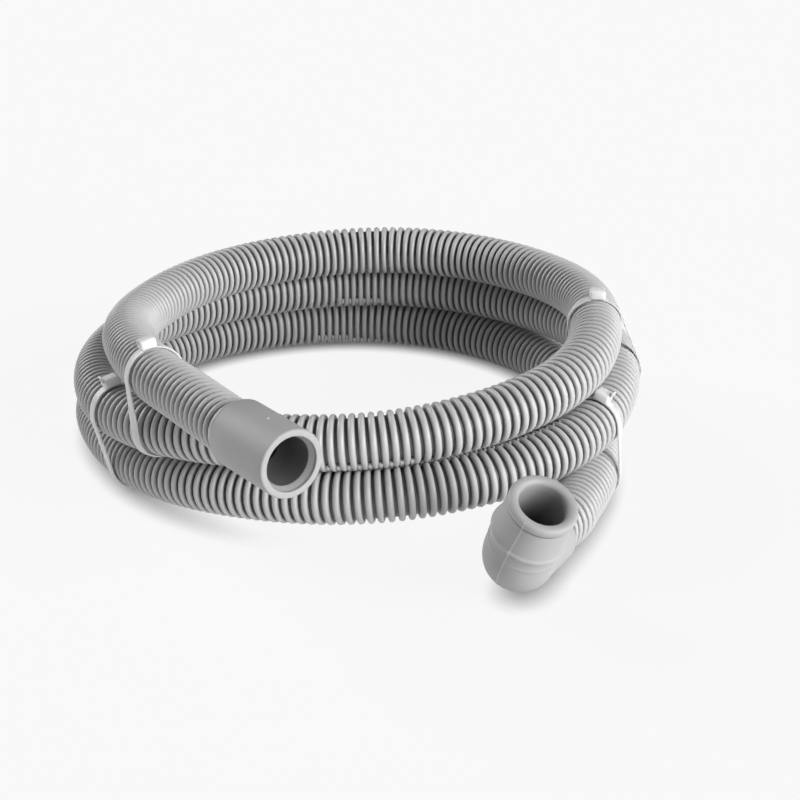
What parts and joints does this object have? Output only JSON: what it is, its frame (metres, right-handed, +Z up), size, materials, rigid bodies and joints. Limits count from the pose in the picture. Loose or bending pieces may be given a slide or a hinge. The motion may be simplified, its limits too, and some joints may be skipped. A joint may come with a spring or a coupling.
{
  "type": "dishwasher drain hose",
  "caption": "Coiled corrugated drain hose with a straight cuff on one end, an elbow cuff on the other and cable ties holding the coil.",
  "frame": {"origin": "on the floor, under the middle of the part's whole outline", "axes": "+Z up off the floor; +Y away from the two cuffs, the long way of the coil with its cuffs; +X towards the side of the elbow cuff"},
  "size_m": [0.2877, 0.348, 0.0905],
  "materials": {
    "hose_plastic": "satin extruded polypropylene, corrugated",
    "straight_cuff_rubber": "smooth matt moulded rubber",
    "elbow_cuff_rubber": "smooth matt moulded rubber",
    "tie_nylon": "natural nylon, slightly translucent"
  },
  "bodies": {
    "root": {"drain_hose": "hose_plastic", "straight_cuff": "straight_cuff_rubber", "elbow_cuff": "elbow_cuff_rubber", "left_upper_tie": "tie_nylon", "left_lower_tie": "tie_nylon", "right_upper_tie": "tie_nylon", "right_lower_tie": "tie_nylon"}
  },
  "joints": []
}
